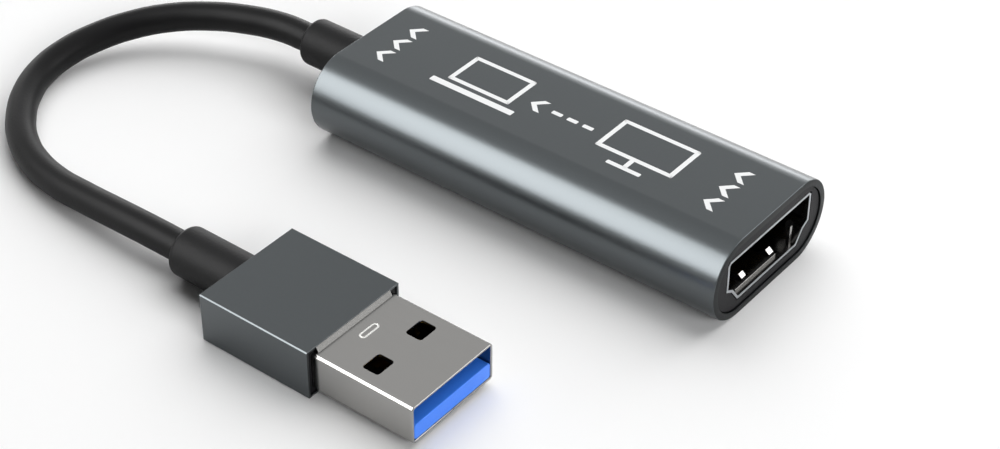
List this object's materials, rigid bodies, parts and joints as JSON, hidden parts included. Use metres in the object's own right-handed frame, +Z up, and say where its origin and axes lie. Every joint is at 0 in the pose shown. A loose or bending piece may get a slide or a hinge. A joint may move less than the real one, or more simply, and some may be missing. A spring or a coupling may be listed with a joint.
{
  "type": "video capture box",
  "caption": "Slim aluminium video capture box with a video input socket in its end and a short captive cable that leads to a flat data plug.",
  "frame": {"origin": "middle of the box's flat underside, on the table", "axes": "+X along the box to its video input end, +Y away from the plug, +Z up"},
  "size_m": [0.0862, 0.0518, 0.0097],
  "materials": {
    "anodised_aluminium": "satin anodised",
    "black_plastic": "moulded",
    "black_rubber": "moulded",
    "nickel_steel": "nickel plated",
    "gold_contacts": "gold plated",
    "board_laminate": "solder mask",
    "chip_moulding": "moulded",
    "tinned_metal": "tin plated",
    "capacitor_ceramic": "fired ceramic",
    "resistor_ceramic": "glazed ceramic",
    "red_wire": "extruded",
    "white_wire": "extruded",
    "blue_plastic": "moulded"
  },
  "bodies": {
    "root": {"body_shell": "anodised_aluminium", "plug_grip": "anodised_aluminium", "input_end_cap": "black_plastic", "output_end_cap": "black_plastic", "video_socket_housing": "black_plastic", "video_socket_tongue": "black_plastic", "plug_core": "black_plastic", "box_cable_end": "black_rubber", "box_strain_relief": "black_rubber", "data_cable": "black_rubber", "plug_strain_relief": "black_rubber", "plug_cable_end": "black_rubber", "video_socket_shell": "nickel_steel", "plug_shell": "nickel_steel", "video_socket_contacts": "gold_contacts", "plug_power_contacts": "gold_contacts", "plug_fast_contacts": "gold_contacts", "circuit_board": "board_laminate", "capture_chip": "chip_moulding", "memory_chip": "chip_moulding", "voltage_regulators": "chip_moulding", "power_inductor": "chip_moulding", "surge_arrays": "chip_moulding", "memory_chip_leads": "tinned_metal", "crystal": "tinned_metal", "regulator_leads": "tinned_metal", "box_drain_wire": "tinned_metal", "plug_crimp_ring": "tinned_metal", "plug_drain_wire": "tinned_metal", "chip_capacitors": "capacitor_ceramic", "chip_resistors": "resistor_ceramic", "box_power_wires": "red_wire", "plug_power_wires": "red_wire", "box_signal_wires": "white_wire", "plug_signal_wires": "white_wire", "plug_tongue": "blue_plastic"}
  },
  "joints": []
}
